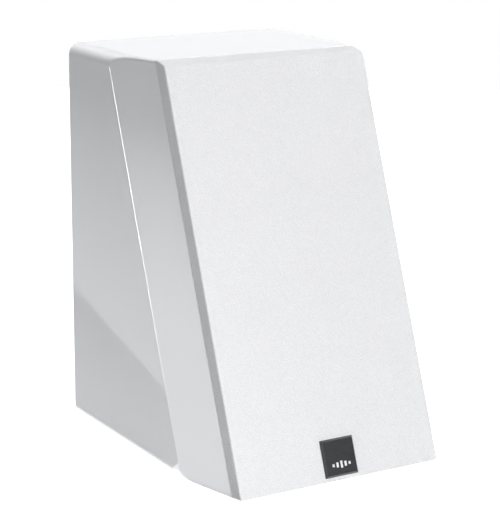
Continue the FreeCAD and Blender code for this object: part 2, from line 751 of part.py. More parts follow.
def wire_along(points):
    """Round wire on straight runs joined by tangent arcs."""
    points = [V(*p) for p in points]
    edges = []
    start = points[0]
    for before, here, after in zip(points, points[1:], points[2:]):
        back = (before - here).normalize()
        forth = (after - here).normalize()
        half_turn = (math.pi - back.getAngle(forth)) / 2
        setback = 0.45 * min((before - here).Length, (after - here).Length)
        radius = setback / math.tan(half_turn)
        enter = here + back * setback
        leave = here + forth * setback
        inward = (back + forth).normalize()
        middle = here + inward * (radius / math.cos(half_turn) - radius)
        edges += [Part.LineSegment(start, enter).toShape(), Part.Arc(enter, middle, leave).toShape()]
        start = leave
    edges.append(Part.LineSegment(start, points[-1]).toShape())
    path = Part.Wire(edges)
    section = Part.Wire([Part.makeCircle(WIRE_R, points[0], points[1] - points[0])])
    wire = path.makePipeShell([section], True, False)
    expected = math.pi * WIRE_R ** 2 * path.Length
    print("wire length %.1f, volume over section times length %.4f" % (path.Length, wire.Volume / expected))
    return wire


def wire_pair(points):
    first = wire_along(points)
    return Part.makeCompound([first, first.translated(V(WIRE_PITCH, 0, 0))])


def input_wires():
    """From the two posts' solder tags down to the board, one wire each."""
    tag_y = REAR_Y - CUP_DEEP - CUP_WALL - 0.8
    tag_z = CUP_Z + 10
    drop = BOARD_TOP + 0.1
    pieces = []
    for side in (-1, 1):
        x = side * POST_X
        route = [(x, tag_y - 0.1, tag_z), (x, tag_y - 8, tag_z), (side * 19, tag_y - 15, tag_z - 10),
                 (side * 34, tag_y - 22, tag_z - 22), (side * 35, tag_y - 23, drop)]
        pieces.append(wire_along(route))
    return Part.makeCompound(pieces)


def woofer_wires():
    start = BOARD_TOP + 0.1
    return wire_pair([(34, 22, start), (34, 21, 32), (37, 8, 44), (40, -6, 51), (41.4, -14.5, 55.6)])


def tweeter_wires():
    start = BOARD_TOP + 0.1
    return wire_pair([
        (-36, 34, start), (-36, 35, 40), (-37, 38, 66), (-38, 40, 94), (-37, 34, 122), (-35, 21, 146),
        (-31.5, 6, 160), (-30.2, 1, 165),
    ])


# ---------------------------------------------------------------- grille
def up_the_baffle(z, out):
    """Distance up the baffle of a point at height z that stands out from it."""
    return (z - out * SIN) / COS


def grille_end(back_z, front_z, out):
    """Distance up the baffle of one end of the grille, at a distance in front of the baffle."""
    back = up_the_baffle(back_z, GRILLE_GAP)
    front = up_the_baffle(front_z, GRILLE_THICK)
    return back + (front - back) * (out - GRILLE_GAP) / (GRILLE_THICK - GRILLE_GAP)


def grille_side(inset, back):
    """Side view of the grille in baffle axes: (up, outward), set in from the cloth's outside."""
    points = []
    for out in (back, GRILLE_THICK - inset):
        foot = grille_end(GRILLE_BACK_FOOT_Z, GRILLE_FOOT_Z, out) + inset
        head = grille_end(GRILLE_BACK_HEAD_Z, GRILLE_HEAD_Z, out) - inset
        points += [(foot, out), (head, out)]
    return [points[0], points[1], points[3], points[2]]


def grille_slab(inset, back):
    half = FACE_WIDTH / 2 - inset
    side_view = Part.Face(outline(grille_side(inset, back), sideways))
    return side_view.extrude(V(2 * half, 0, 0)).translated(V(-half, 0, 0))


def window_cutter(radius):
    front = GRILLE_THICK - CLOTH
    wide = radius + WINDOW_CHAMFER
    return turned([(0, -1), (radius, -1), (radius, front - WINDOW_CHAMFER), (wide, front), (wide, FAR), (0, FAR)])


def grille_frame():
    frame = grille_slab(CLOTH, GRILLE_GAP)
    front = GRILLE_THICK - CLOTH
    frame = frame.makeFillet(FRAME_EDGE_R, edges_where(frame, lambda p: p.z > front - TOUCH))
    frame = frame.cut(window_cutter(WOOFER_WINDOW_R).translated(V(0, WOOFER_V, 0)))
    frame = frame.cut(window_cutter(TWEETER_WINDOW_R).translated(V(0, TWEETER_V, 0)))
    for place in peg_places():
        frame = frame.cut(disc(PEG_R, -1, PEG_ROOT, *place))
    return on_baffle(frame)


def grille_fabric():
    """Cloth over the front and round the four sides, as flat sheets that meet at the edges."""
    half = FACE_WIDTH / 2
    inner = grille_slab(CLOTH, -1)
    skin = grille_slab(0, GRILLE_GAP + 0.5).cut(inner)
    front = GRILLE_THICK - CLOTH
    face = skin.common(block((-FAR, FAR), (-FAR, FAR), (front, FAR)))
    rest = skin.common(block((-FAR, FAR), (-FAR, FAR), (-FAR, front)))
    pieces = [face]
    for side in (-1, 1):
        strip = sorted((side * half, side * (half - CLOTH)))
        pieces.append(rest.common(block(strip, (-FAR, FAR), (-FAR, FAR))))
    middle = (CLOTH - half, half - CLOTH)
    for reach in ((-FAR, HEIGHT / 2), (HEIGHT / 2, FAR)):
        pieces.append(rest.common(block(middle, reach, (-FAR, FAR))))
    return on_baffle(Part.makeCompound(pieces))


def grille_pegs():
    peg = turned([
        (0, PEG_ROOT), (PEG_R, PEG_ROOT), (PEG_R, 1.2 - PEG_DEPTH), (PEG_R - 1.2, -PEG_DEPTH), (0, -PEG_DEPTH),
    ])
    return on_baffle(Part.makeCompound([peg.translated(V(x, y, 0)) for x, y in peg_places()]))


def grille_sockets():
    bore = PEG_R + PEG_FIT
    floor = SOCKET_FLOOR - SOCKET_DEPTH
    cup = turned([
        (0, -SOCKET_DEPTH), (SOCKET_R, -SOCKET_DEPTH), (SOCKET_R, -0.1), (bore + 0.5, -0.1), (bore, -0.6),
        (bore, floor), (0, floor),
    ])
    return on_baffle(Part.makeCompound([cup.translated(V(x, y, 0)) for x, y in peg_places()]))


def badge_low():
    return up_the_baffle(GRILLE_FOOT_Z, GRILLE_THICK) + BADGE_RISE


def badge_plate():
    half = BADGE / 2
    badge = block((-half, half), (0, BADGE), (GRILLE_THICK, GRILLE_THICK + BADGE_THICK))
    top = GRILLE_THICK + BADGE_THICK
    badge = badge.makeChamfer(BADGE_BEVEL, edges_where(badge, lambda p: p.z > top - TOUCH))
    return on_baffle(badge, badge_low())


def badge_mark():
    """Five plain bars, tallest in the middle."""
    low = GRILLE_THICK + BADGE_THICK
    bars = []
    for k, tall in enumerate(MARK_BARS):
        x = (k - (len(MARK_BARS) - 1) / 2) * MARK_PITCH
        bar = block((-MARK_BAR / 2, MARK_BAR / 2), (-tall / 2, tall / 2), (low, low + MARK_THICK))
        bars.append(bar.translated(V(x, MARK_RISE, 0)))
    return on_baffle(Part.makeCompound(bars), badge_low())


# ---------------------------------------------------------------- all parts
def all_parts():
    body = outer_body()
    parts = cabinet_panels(body)
    parts["front_baffle"] = front_baffle(body)
    for side, colour in ((-1, "red"), (1, "black")):
        parts[colour + "_post_collar"] = post_collar(side)
        parts[colour + "_post_washer"] = post_washer(side)
        parts[colour + "_post_knob"] = post_knob(side)
    parts["post_studs"] = Part.makeCompound([post_stud(-1), post_stud(1)])
    makers = [
        rear_panel, shelf_brace, cabinet_wadding, port_tube, terminal_cup, terminal_gasket, terminal_screws,
        post_hardware, threaded_insert, keyhole_plate, keyhole_screws, grille_sockets,
        woofer_basket, woofer_gasket, woofer_surround, woofer_spider, woofer_cone, woofer_dust_cap, woofer_former,
        woofer_coil, woofer_top_plate, woofer_magnet, woofer_yoke, woofer_terminals, woofer_screws,
        tweeter_faceplate, tweeter_guard, tweeter_surround, tweeter_dome, tweeter_coil, tweeter_top_plate,
        tweeter_magnet, tweeter_yoke, tweeter_rear_cup, tweeter_screws,
        crossover_board, crossover_standoffs, crossover_inductors, crossover_capacitors, crossover_resistors,
        input_wires, woofer_wires, tweeter_wires,
        grille_frame, grille_fabric, grille_pegs, badge_plate, badge_mark,
    ]
    for maker in makers:
        parts[maker.__name__] = maker()
    return parts


def main():
    os.makedirs("parts", exist_ok=True)
    for name, shape in sorted(all_parts().items()):
        solids = len(shape.Solids)
        print("%-22s solids %d valid %s volume %.0f" % (name, solids, shape.isValid(), shape.Volume))
        shape.exportStep("parts/%s.step" % name)


main()
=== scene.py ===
import json
import math
import random

import bmesh
import bpy
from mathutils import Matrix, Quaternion, Vector, noise


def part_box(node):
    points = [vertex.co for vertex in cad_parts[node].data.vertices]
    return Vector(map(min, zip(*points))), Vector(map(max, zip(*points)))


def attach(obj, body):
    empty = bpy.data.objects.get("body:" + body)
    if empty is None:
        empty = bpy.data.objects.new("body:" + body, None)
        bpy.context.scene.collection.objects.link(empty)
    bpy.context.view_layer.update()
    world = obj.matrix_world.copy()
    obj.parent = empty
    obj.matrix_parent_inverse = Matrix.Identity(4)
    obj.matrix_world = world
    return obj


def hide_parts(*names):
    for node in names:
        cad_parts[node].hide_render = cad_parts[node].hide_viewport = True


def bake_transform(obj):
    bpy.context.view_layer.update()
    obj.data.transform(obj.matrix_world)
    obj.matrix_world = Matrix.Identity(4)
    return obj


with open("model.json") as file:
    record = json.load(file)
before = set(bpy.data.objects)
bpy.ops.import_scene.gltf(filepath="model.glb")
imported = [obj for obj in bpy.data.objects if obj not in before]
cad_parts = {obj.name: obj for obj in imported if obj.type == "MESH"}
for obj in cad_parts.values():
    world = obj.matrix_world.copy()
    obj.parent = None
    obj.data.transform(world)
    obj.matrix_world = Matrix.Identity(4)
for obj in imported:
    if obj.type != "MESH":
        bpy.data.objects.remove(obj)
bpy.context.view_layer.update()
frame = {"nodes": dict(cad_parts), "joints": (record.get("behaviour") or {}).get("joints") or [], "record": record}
NODES = frame["nodes"]
RECORD = frame["record"]

# Metres, in the part's own frame: +Z up, front towards -Y. The front leans back, so most places on it
# are given by three distances: across, up the front, and out of it.
MM = 0.001
ACROSS = Vector((1, 0, 0))
OUT = Vector(next(j["axis"] for j in frame["joints"] if j["name"] == "grille_slide")).normalized()
UP = OUT.cross(ACROSS)

# ---------------------------------------------------------------- driving values
# Camera: where it stands, and the way from the speaker to it.
CAMERA_PLACE = Vector((-0.5469, -0.9057, 0.3755))
CAMERA_AZIMUTH = -30.904
CAMERA_ELEVATION = 14.294
CAMERA_ROLL = 0.323
CAMERA_LENS = 124.28

# Grille cloth
EDGE_R = 1.0 * MM            # cloth's outside radius round the frame's front edge
BACK_R = 0.9 * MM            # where it turns in behind the frame
CORNER_R = 0.9 * MM          # seen from the front
CLOTH = 0.45 * MM            # thickness
HEM = 6.0 * MM               # turned in behind the frame
SWELL = 0.05 * MM            # unevenness of the stretched cloth,
PATCH = 24 * MM              # over patches this wide
SIDE_STEPS = (30, 48)        # faces across and up
CORNER_STEPS = 4
YARN_ACROSS = 0.53 * MM
YARN_UP = 0.60 * MM

# Wadding
TUFT = 1.2 * MM              # height of its unevenness
TUFT_WIDE = 7 * MM
TUFT_FINE = 3 * MM
PAD_CUTS = 23                # cuts across each face of a pad
PAD_SHRINK = 0.97            # soft edges stand back from the CAD block
PAD_EDGE = 0.25              # share of its thickness left at the rim
PAD_SWELL = 0.7              # and gained in the middle

# Suspension rings. Places on a section are (distance from the driver's axis, distance out from the baffle's face).
SECTORS = 48
SECTOR_STEPS = 3
ROLL_STEPS = 10
WELD = 0.02 * MM
WOOFER_EDGES = ((39.9 * MM, -0.85 * MM), (46.2 * MM, -1.0 * MM))
WOOFER_RIM_R = 51.0 * MM
WOOFER_ROLL = {"lip": 1.9 * MM, "rise": 3.2 * MM, "thick": 0.45 * MM, "tuck": 0.2 * MM}
TWEETER_EDGES = ((13.5 * MM, -7.55 * MM), (16.2 * MM, -8.0 * MM))
TWEETER_RIM_R = 19.0 * MM
TWEETER_ROLL = {"lip": 0.3 * MM, "rise": 1.3 * MM, "thick": 0.22 * MM}
SPIDER_RADII = (14.5 * MM, 33.5 * MM)
SPIDER = {"lip": 1.5 * MM, "pleats": 5, "depth": 0.85 * MM, "thick": 0.45 * MM, "level": -28.2 * MM}

# Polarity marks in the terminal recess
MARK_LONG = 4.6 * MM
MARK_WIDE = 1.1 * MM
MARK_THICK = 0.5 * MM
MARK_ABOVE = 13.0 * MM       # over the posts' middle
MARK_SINK = 0.05 * MM
MARK_EDGE = 0.15 * MM

# Studio. The gloss mirrors the floor beside the speaker: its nearest part is dimmer, and a straight edge
# parts it from the brighter floor behind. Compass angles are measured from +Y towards -X.
FLOOR_R = 1.4
FLOOR_DROP = 0.3 * MM        # under the speaker and the cards
CEILING = 2.2
BACK_WALL = 1.8
FAR = 3.0
WHITE = (0.995, 0.997, 1.006)
COOL = (0.982, 0.992, 1.016)
LIGHTS = (
    # name, place, aimed at, size, watts, colour, seen in the gloss
    ("key", (0.1, -1.65, 0.9), (0, 0, 0.12), (1.0, 1.0), 26.0, WHITE, True),
    ("right", (0.9, -1.3, 0.9), (0, 0, 0.12), (1.0, 1.0), 1.0, WHITE, False),
    ("overhead", (0.1, 0.4, 1.5), (0, 0, 0.1), (1.2, 1.2), 10.5, WHITE, False),
    ("behind", (0.4, 1.6, 0.8), (0, 0, 0.15), (1.0, 1.0), 12.0, WHITE, False),
    ("low_left", (-0.36, -0.38, 0.04), (0, 0, 0.02), (0.25, 0.08), 0.32, COOL, False),
)
EDGE_START = Vector((-0.143, 0.094))
EDGE_WAY = Vector((-0.05, 0.217))
CREASE_FOOT = Vector((-0.076, -0.03))
CREASE_WAYS = (32.0, 49.0)   # compass angles that only the cabinet's crease mirrors
FACET_WAY = 57.0             # compass angle that the bevelled corner mirrors


# ---------------------------------------------------------------- places from the frame
def reach(node, direction):
    """Lowest and highest distance of a node's points along a direction."""
    along = [v.co.dot(direction) for v in NODES[node].data.vertices]
    return min(along), max(along)


def middle(node, direction):
    low, high = reach(node, direction)
    return (low + high) / 2


def at(across, up, out):
    return ACROSS * across + UP * up + OUT * out


# ---------------------------------------------------------------- materials
class Surface:
    """A procedural material: one Principled shader, and the patterns in metres that feed it."""

    def __init__(self, name, **constants):
        self.material = bpy.data.materials.new(name)
        self.material.use_nodes = True
        self.tree = self.material.node_tree
        self.shader = self.tree.nodes["Principled BSDF"]
        for socket, value in constants.items():
            self.shader.inputs[socket.replace("_", " ").title().replace("Ior", "IOR")].default_value = value
        self.place = self.tree.nodes.new("ShaderNodeTexCoord").outputs["Object"]
        self.normal = None

    def node(self, kind, inputs=(), output=0, **settings):
        made = self.tree.nodes.new("ShaderNode" + kind)
        for key, value in settings.items():
            setattr(made, key, value)
        for key, value in dict(inputs).items():
            if isinstance(value, bpy.types.NodeSocket):
                self.tree.links.new(value, made.inputs[key])
            else:
                made.inputs[key].default_value = value
        return made.outputs[output]

    def math(self, operation, first, second=0.0, third=0.0):
        return self.node("Math", {0: first, 1: second, 2: third}, operation=operation)

    def along(self, direction, source=None):
        """Distance along a direction."""
        place = source or self.place
        return self.node("VectorMath", {0: place, 1: tuple(direction)}, "Value", operation="DOT_PRODUCT")

    def distance(self, centre):
        return self.node("VectorMath", {0: self.place, 1: tuple(centre)}, "Value", operation="DISTANCE")

    def stretched(self, factors):
        return self.node("VectorMath", {0: self.place, 1: factors}, operation="MULTIPLY")

    def grain(self, size, detail=3.0, rough=0.6, place=None):
        """Noise whose patches are about size across, from 0 to 1."""
        return self.node("TexNoise", {
            "Vector": place or self.place, "Scale": 1 / size, "Detail": detail, "Roughness": rough,
        })

    def cells(self, size, feature="F1"):
        inputs = {"Vector": self.place, "Scale": 1 / size}
        return self.node("TexVoronoi", inputs, "Distance", feature=feature)

    def wave(self, distance, pitch):
        """0 to 1 and back once each pitch."""
        turned = self.math("COSINE", self.math("MULTIPLY", distance, 2 * math.pi / pitch))
        return self.math("MULTIPLY_ADD", turned, 0.5, 0.5)

    def ramp(self, value, low, high, start=0.0, end=1.0):
        return self.node("MapRange", {0: value, 1: start, 2: end, 3: low, 4: high})

    def colour(self, value, dark, light):
        mixed = self.node("Mix", {0: value, 6: (*dark, 1), 7: (*light, 1)}, 2, data_type="RGBA")
        self.tree.links.new(mixed, self.shader.inputs["Base Color"])
        return self

    def roughness(self, value, low, high):
        self.tree.links.new(self.ramp(value, low, high, 0.3, 0.7), self.shader.inputs["Roughness"])
        return self

    def relief(self, value, depth):
        """Height of the surface's fine shape; several add up."""
        inputs = {"Height": value, "Distance": depth, "Strength": 1.0}
        if self.normal:
            inputs["Normal"] = self.normal
        self.normal = self.node("Bump", inputs)
        self.tree.links.new(self.normal, self.shader.inputs["Normal"])
        return self


def shade(colour, share):
    return tuple(max(0.0, c * share) for c in colour)


def slot_colour(name):
    return next(tuple(m["base_color"][:3]) for m in RECORD["materials"] if m["slot"] == name)


def white_lacquer():
    """Polished gloss lacquer: hardly any colour change, a trace of orange peel, faint polishing haze."""
    s = Surface("white_lacquer", ior=1.5)
    colour = slot_colour("white_lacquer")
    s.colour(s.grain(30 * MM, 2.0), shade(colour, 0.985), colour)
    s.roughness(s.grain(9 * MM), 0.045, 0.075)
    return s.relief(s.grain(3.2 * MM, 1.0, 0.4), 0.0025 * MM)


def bare_fibreboard():
    s = Surface("bare_fibreboard", ior=1.45)
    colour = slot_colour("bare_fibreboard")
    fibres = s.grain(1.1 * MM, 6.0, 0.75, s.stretched((1.0, 0.35, 1.0)))
    s.colour(fibres, shade(colour, 0.72), shade(colour, 1.12))
    s.roughness(s.grain(2 * MM), 0.75, 0.92)
    return s.relief(fibres, 0.08 * MM)


def wadding():
    """Loose white fibres."""
    s = Surface("wadding", sheen_weight=0.4, sheen_roughness=0.6)
    strands = s.grain(0.9 * MM, 8.0, 0.8, s.stretched((1.0, 0.5, 0.7)))
    s.colour(strands, (0.66, 0.66, 0.64), (0.92, 0.92, 0.90))
    s.roughness(s.grain(5 * MM), 0.85, 0.97)
    s.relief(s.grain(6 * MM, 4.0), 0.8 * MM)
    return s.relief(strands, 0.35 * MM)


def moulded(name, pit, depth, low, high, speck=0.8):
    """Moulded plastic with a fine etched texture."""
    s = Surface(name, ior=1.49)
    colour = slot_colour(name)
    s.colour(s.grain(7 * MM), shade(colour, speck), shade(colour, 1.15))
    s.roughness(s.grain(1.5 * MM), low, high)
    s.relief(s.cells(pit, "SMOOTH_F1"), depth)
    return s.relief(s.grain(pit * 2.6, 2.0), depth * 0.5)


def gloss_plastic(name):
    """Polished moulded plastic with faint flow lines."""
    s = Surface(name, ior=1.5)
    colour = slot_colour(name)
    flow = s.grain(4 * MM, 2.0, 0.5, s.stretched((1.0, 0.3, 1.0)))
    s.colour(flow, shade(colour, 0.86), shade(colour, 1.08))
    s.roughness(s.grain(1.2 * MM), 0.14, 0.28)
    return s.relief(s.grain(1.6 * MM, 2.0), 0.006 * MM)


def rubber(name, pit=0.35 * MM, depth=0.02 * MM):
    """Satin rubber with a dusty bloom."""
    s = Surface(name, ior=1.5, sheen_weight=0.12, sheen_roughness=0.5)
    colour = slot_colour(name)
    s.colour(s.grain(5 * MM, 5.0, 0.7), shade(colour, 0.75), shade(colour, 1.7))
    s.roughness(s.grain(1.3 * MM), 0.48, 0.68)
    return s.relief(s.grain(pit, 3.0), depth)


def foam_rubber():
    s = Surface("foam_rubber", ior=1.45)
    colour = slot_colour("foam_rubber")
    pores = s.cells(0.45 * MM)
    s.colour(pores, shade(colour, 0.5), shade(colour, 1.5))
    s.roughness(s.grain(1 * MM), 0.85, 0.96)
    return s.relief(pores, 0.12 * MM)


def metal(name, streak, low, high, spread=0.82, depth=0.004, pits=0.5 * MM):
    """Bare or plated metal: tone drifts, fine tool streaks, a few pits."""
    s = Surface(name, metallic=1.0)
    colour = slot_colour(name)
    s.colour(s.grain(3.5 * MM, 5.0, 0.7), shade(colour, spread), shade(colour, 1.06))
    lines = s.grain(0.5 * MM, 3.0, 0.6, s.stretched(streak))
    s.roughness(lines, low, high)
    s.relief(lines, depth * MM)
    return s.relief(s.grain(pits, 2.0), depth * 0.6 * MM)


def painted(name, size, depth, low, high):
    """Powder coat or satin paint on metal."""
    s = Surface(name, ior=1.5)
    colour = slot_colour(name)
    s.colour(s.grain(6 * MM, 4.0), shade(colour, 0.82), shade(colour, 1.2))
    s.roughness(s.grain(1.4 * MM), low, high)
    return s.relief(s.grain(size, 2.0, 0.5), depth)


def badge_black():
    """Black anodised plate, finely brushed across."""
    s = Surface("badge_black", ior=1.5, metallic=0.25)
    colour = slot_colour("badge_black")
    brush = s.grain(0.25 * MM, 3.0, 0.6, s.stretched((0.06, 1.0, 1.0)))
    s.colour(brush, shade(colour, 0.55), shade(colour, 0.95))
    s.roughness(brush, 0.26, 0.4)
    return s.relief(brush, 0.004 * MM)


def spider_cloth():
    """Open cotton weave stiffened with amber resin."""
    s = Surface("spider_cloth", sheen_weight=0.2)
    colour = slot_colour("spider_cloth")
    yarns = s.math("MULTIPLY", s.wave(s.along(ACROSS), 0.7 * MM), s.wave(s.along(UP), 0.7 * MM))
    s.colour(yarns, shade(colour, 0.55), shade(colour, 1.1))
    s.roughness(s.grain(2 * MM), 0.55, 0.8)
    return s.relief(yarns, 0.12 * MM)


def cone():
    """Injection-moulded polypropylene with mica flecks and faint rings from the mould."""
    s = Surface("cone", ior=1.49)
    colour = slot_colour("cone")
    radius = s.distance(at(0, middle("woofer_basket", UP), middle("woofer_cone", OUT)))
    flecks = s.cells(0.5 * MM)
    s.colour(s.ramp(flecks, 1.0, 0.0, 0.05, 0.45), shade(colour, 0.75), shade(colour, 2.2))
    s.roughness(s.grain(0.8 * MM), 0.3, 0.46)
    s.relief(s.wave(radius, 0.8 * MM), 0.006 * MM)
    return s.relief(s.grain(0.4 * MM), 0.008 * MM)


def dome():
    """Thin aluminium dome, matt from its spinning, with faint turning rings."""
    s = Surface("dome", metallic=1.0)
    colour = slot_colour("dome")
    radius = s.distance(at(0, middle("tweeter_faceplate", UP), middle("tweeter_dome", OUT)))
    s.colour(s.grain(4 * MM), shade(colour, 0.9), colour)
    s.roughness(s.grain(0.6 * MM), 0.22, 0.34)
    return s.relief(s.wave(radius, 0.22 * MM), 0.0015 * MM)


def copper():
    """Enamelled wire laid in close turns round the axis of the drivers."""
    s = Surface("copper", metallic=1.0)
    colour = slot_colour("copper")
    turns = s.wave(s.along(OUT), 0.32 * MM)
    s.colour(turns, shade(colour, 0.45), shade(colour, 1.1))
    s.roughness(s.grain(0.8 * MM), 0.2, 0.38)
    return s.relief(turns, 0.12 * MM)


def ferrite():
    s = Surface("ferrite", ior=1.6)
    colour = slot_colour("ferrite")
    s.colour(s.grain(0.7 * MM, 4.0, 0.7), shade(colour, 0.6), shade(colour, 1.5))
    s.roughness(s.grain(3 * MM), 0.5, 0.75)
    return s.relief(s.grain(0.5 * MM, 5.0, 0.75), 0.05 * MM)


def circuit_board():
    """Green solder mask over copper tracks, which stand a little proud and read lighter."""
    s = Surface("circuit_board", ior=1.5)
    colour = slot_colour("circuit_board")
    tracks = s.node("TexBrick", {
        "Vector": s.place, "Scale": 1.0, "Mortar Size": 0.7 * MM, "Mortar Smooth": 0.3,
        "Brick Width": 14 * MM, "Row Height": 4.5 * MM,
    }, "Fac", offset=0.37)
    s.colour(tracks, shade(colour, 0.8), shade(colour, 1.7))
    s.roughness(s.grain(2 * MM), 0.28, 0.42)
    return s.relief(tracks, 0.06 * MM)


def capacitor():
    """Glossy film sleeve, a little wrinkled, over the wound body."""
    s = Surface("capacitor", ior=1.5)
    colour = slot_colour("capacitor")
    s.colour(s.grain(5 * MM, 3.0), shade(colour, 0.8), shade(colour, 1.15))
    s.roughness(s.grain(1 * MM), 0.12, 0.26)
    return s.relief(s.grain(2.5 * MM, 3.0, 0.6, s.stretched((0.3, 1.0, 1.0))), 0.05 * MM)


def resistor():
    """Fired cement with pin holes."""
    s = Surface("resistor", ior=1.5)
    colour = slot_colour("resistor")
    s.colour(s.grain(1.2 * MM, 5.0, 0.7), shade(colour, 0.82), shade(colour, 1.05))
    s.roughness(s.grain(2 * MM), 0.78, 0.94)
    return s.relief(s.grain(0.35 * MM, 4.0, 0.7), 0.06 * MM)


def white_frame():
    s = Surface("white_frame", ior=1.45)
    colour = slot_colour("white_frame")
    fibres = s.grain(0.9 * MM, 5.0, 0.7)
    s.colour(fibres, shade(colour, 0.93), shade(colour, 1.04))
    s.roughness(s.grain(3 * MM), 0.55, 0.75)
    return s.relief(fibres, 0.02 * MM)


def white_cloth():
    """Acoustic twill with diagonal ribs. Round the sides, painted shade darkens the grooves between the ribs,
    standing in for the weave's shading under grazing light.
    """
    s = Surface("white_cloth", ior=1.45, sheen_weight=0.15, sheen_roughness=0.5)
    colour = slot_colour("white_cloth")
    flat = s.node("UVMap", uv_map="flat_cloth")
    across = s.math("DIVIDE", s.along((1, 0, 0), flat), YARN_ACROSS)
    up = s.math("DIVIDE", s.along((0, 1, 0), flat), YARN_UP)
    drift = s.ramp(s.grain(2.5 * MM, 3.0, 0.6), -2.5, 2.5)
    rib = s.wave(s.math("ADD", s.math("ADD", across, up), drift), 3.5)
    warp = s.math("ABSOLUTE", s.math("SINE", s.math("MULTIPLY", across, math.pi)))
    weft = s.math("ABSOLUTE", s.math("SINE", s.math("MULTIPLY", up, math.pi)))
    over = s.ramp(rib, 0.0, 1.0, 0.3, 0.7)
    yarns = s.node("Mix", {0: over, 2: weft, 3: warp}, data_type="FLOAT")
    slub = s.ramp(s.grain(0.7 * MM, 3.0, 0.75), -2.5, 2.5)
    weave = s.math("MULTIPLY_ADD", yarns, 0.25, s.math("MULTIPLY_ADD", rib, 0.7, 0.02))
    tone = s.ramp(s.math("ADD", weave, slub), 0.81, 1.0)
    half = reach("grille_fabric", ACROSS)[1]
    # Painted shade: beyond the front edge, the grooves between the ribs are darkened, standing in for the weave's
    # shading under grazing light.
    beyond = s.math("ABSOLUTE", s.along((1, 0, 0), flat))
    wrapped_side_mask = s.ramp(beyond, 0.0, 1.0, half - 0.5 * MM, half + 1.5 * MM)
    painted_side_shade = s.math("MULTIPLY", s.ramp(rib, 0.34, 0.0, 0.15, 0.8), wrapped_side_mask)
    s.colour(s.math("SUBTRACT", tone, painted_side_shade), shade(colour, 0.35), shade(colour, 0.95))
    s.roughness(s.grain(3 * MM), 0.82, 0.93)
    s.relief(rib, 0.10 * MM)
    s.relief(yarns, 0.06 * MM)
    return s.relief(s.grain(0.6 * MM, 3.0, 0.7), 0.05 * MM)


def white_plastic():
    return moulded("white_plastic", 0.3 * MM, 0.01 * MM, 0.35, 0.5, 0.95)


MAKERS = {
    "white_lacquer": white_lacquer,
    "bare_fibreboard": bare_fibreboard,
    "wadding": wadding,
    "black_plastic": lambda: moulded("black_plastic", 0.4 * MM, 0.03 * MM, 0.42, 0.56),
    "driver_plastic": lambda: moulded("driver_plastic", 0.3 * MM, 0.012 * MM, 0.34, 0.46),
    "red_plastic": lambda: gloss_plastic("red_plastic"),
    "black_gloss_plastic": lambda: gloss_plastic("black_gloss_plastic"),
    "foam_rubber": foam_rubber,
    "soft_rubber": lambda: rubber("soft_rubber"),
    "plated_brass": lambda: metal("plated_brass", (1.0, 0.1, 1.0), 0.12, 0.26),
    "raw_brass": lambda: metal("raw_brass", (1.0, 0.1, 1.0), 0.26, 0.44, 0.7),
    "black_screw": lambda: metal("black_screw", (1.0, 1.0, 0.2), 0.32, 0.5, 0.6, 0.008),
    "black_steel": lambda: painted("black_steel", 0.5 * MM, 0.03 * MM, 0.4, 0.55),
    "zinc_steel": lambda: metal("zinc_steel", (1.0, 0.3, 1.0), 0.24, 0.42, 0.72, 0.008),
    "basket_paint": lambda: painted("basket_paint", 0.7 * MM, 0.02 * MM, 0.38, 0.52),
    "spider_cloth": spider_cloth,
    "cone": cone,
    "former": lambda: metal("former", (1.0, 0.15, 1.0), 0.25, 0.4, 0.88),
    "copper": copper,
    "ferrite": ferrite,
    "dome": dome,
    "circuit_board": circuit_board,
    "capacitor": capacitor,
    "resistor": resistor,
    "wire_jacket": lambda: rubber("wire_jacket", 0.6 * MM, 0.012 * MM),
    "white_frame": white_frame,
    "white_cloth": white_cloth,
    "white_plastic": white_plastic,
    "badge_black": badge_black,
    "badge_white": lambda: painted("badge_white", 0.3 * MM, 0.006 * MM, 0.3, 0.42),
}


def dress_nodes(materials):
    """Each CAD node takes the material of its slot in the record."""
    for part in RECORD["subparts"]:
        mesh = NODES[part["node"]].data
        mesh.materials.clear()
        mesh.materials.append(materials[part["material_slot"]])


# ---------------------------------------------------------------- pieces
def piece(name, mesh_builder, body, slot, materials, smooth=True):
    """An object from a finished bmesh, riding a body, with its slot's material."""
    mesh = bpy.data.meshes.new(name)
    bmesh.ops.recalc_face_normals(mesh_builder, faces=mesh_builder.faces)
    mesh_builder.to_mesh(mesh)
    mesh_builder.free()
    mesh.materials.append(materials[slot])
    if smooth:
        mesh.shade_smooth()
    made = bpy.data.objects.new(name, mesh)
    bpy.context.scene.collection.objects.link(made)
    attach(made, body)
    return made


def rounded_loop(half, low, high, radius, inset):
    """Points of a rounded rectangle, inset from its sides, with the outward direction at each.

    They run round from the lower right corner.
    """
    half, low, high = half - inset, low + inset, high - inset
    corners = ((1, low, -90), (1, high, 0), (-1, high, 90), (-1, low, 180))
    arcs = []
    for side, y, turn in corners:
        centre_x = side * (half - radius)
        centre_y = y + radius if y == low else y - radius
        arc_points = []
        for k in range(CORNER_STEPS + 1):
            angle = math.radians(turn + 90 * k / CORNER_STEPS)
            way = (math.cos(angle), math.sin(angle))
            arc_points.append(((centre_x + radius * way[0], centre_y + radius * way[1]), way))
        arcs.append(arc_points)
    points = []
    for k, arc_points in enumerate(arcs):
        (ax, ay), way = arc_points[-1]
        (bx, by), _ = arcs[(k + 1) % 4][0]
        points += arc_points
        steps = SIDE_STEPS[(k + 1) % 2]
        points += [((ax + (bx - ax) * i / steps, ay + (by - ay) * i / steps), way) for i in range(1, steps)]
    return points


def cloth_levels():
    """How far out the cloth's back and front are, and where its lower and upper edges are at each."""
    levels = []
    vertices = NODES["grille_fabric"].data.vertices
    for out in reach("grille_fabric", OUT):
        edge = [v.co.dot(UP) for v in vertices if abs(v.co.dot(OUT) - out) < 0.05 * MM]
        levels.append((out, min(edge), max(edge)))
    return levels


